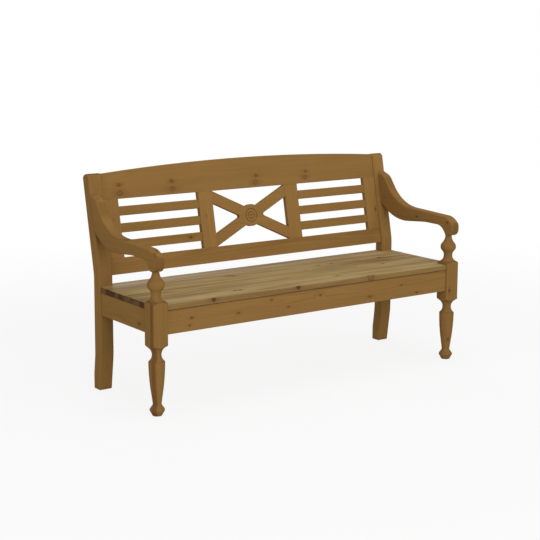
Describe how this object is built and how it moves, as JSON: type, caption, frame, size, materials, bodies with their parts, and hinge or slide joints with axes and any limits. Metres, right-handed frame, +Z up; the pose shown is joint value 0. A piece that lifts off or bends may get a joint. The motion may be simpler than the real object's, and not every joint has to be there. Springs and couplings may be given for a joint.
{
  "type": "settle bench",
  "caption": "Pine settle bench with scroll arms on turned front legs, a plank seat and a raked open back with slats and a fretted cross.",
  "frame": {"origin": "on the floor, below the middle of the bench's bounding box", "axes": "+X along the bench, to the right in a view from its front; +Y from the front to the back; +Z up"},
  "size_m": [1.6, 0.5884, 0.9272],
  "materials": {
    "frame_pine": "satin",
    "seat_pine": "satin",
    "hidden_pine": "matte",
    "beech_dowel": "matte",
    "zinc_steel": "satin"
  },
  "bodies": {
    "root": {"arm_dowels": "beech_dowel", "arm_left": "frame_pine", "arm_right": "frame_pine", "back_bottom_rail": "frame_pine", "back_cross": "frame_pine", "back_mullion_left": "frame_pine", "back_mullion_right": "frame_pine", "back_slat_lower_left": "frame_pine", "back_slat_lower_right": "frame_pine", "back_slat_middle_left": "frame_pine", "back_slat_middle_right": "frame_pine", "back_slat_upper_left": "frame_pine", "back_slat_upper_right": "frame_pine", "back_stile_left": "frame_pine", "back_stile_right": "frame_pine", "bearer_screws": "zinc_steel", "brace_bolts": "zinc_steel", "crest_rail": "frame_pine", "front_apron": "frame_pine", "front_brace_left": "hidden_pine", "front_brace_right": "hidden_pine", "front_leg_left": "frame_pine", "front_leg_right": "frame_pine", "rear_apron": "frame_pine", "rear_brace_left": "hidden_pine", "rear_brace_right": "hidden_pine", "rear_post_left": "frame_pine", "rear_post_right": "frame_pine", "seat_bearer_1": "hidden_pine", "seat_bearer_2": "hidden_pine", "seat_bearer_3": "hidden_pine", "seat_board_1": "seat_pine", "seat_board_2": "seat_pine", "seat_board_3": "seat_pine", "seat_board_4": "seat_pine", "side_apron_left": "frame_pine", "side_apron_right": "frame_pine"}
  },
  "joints": []
}
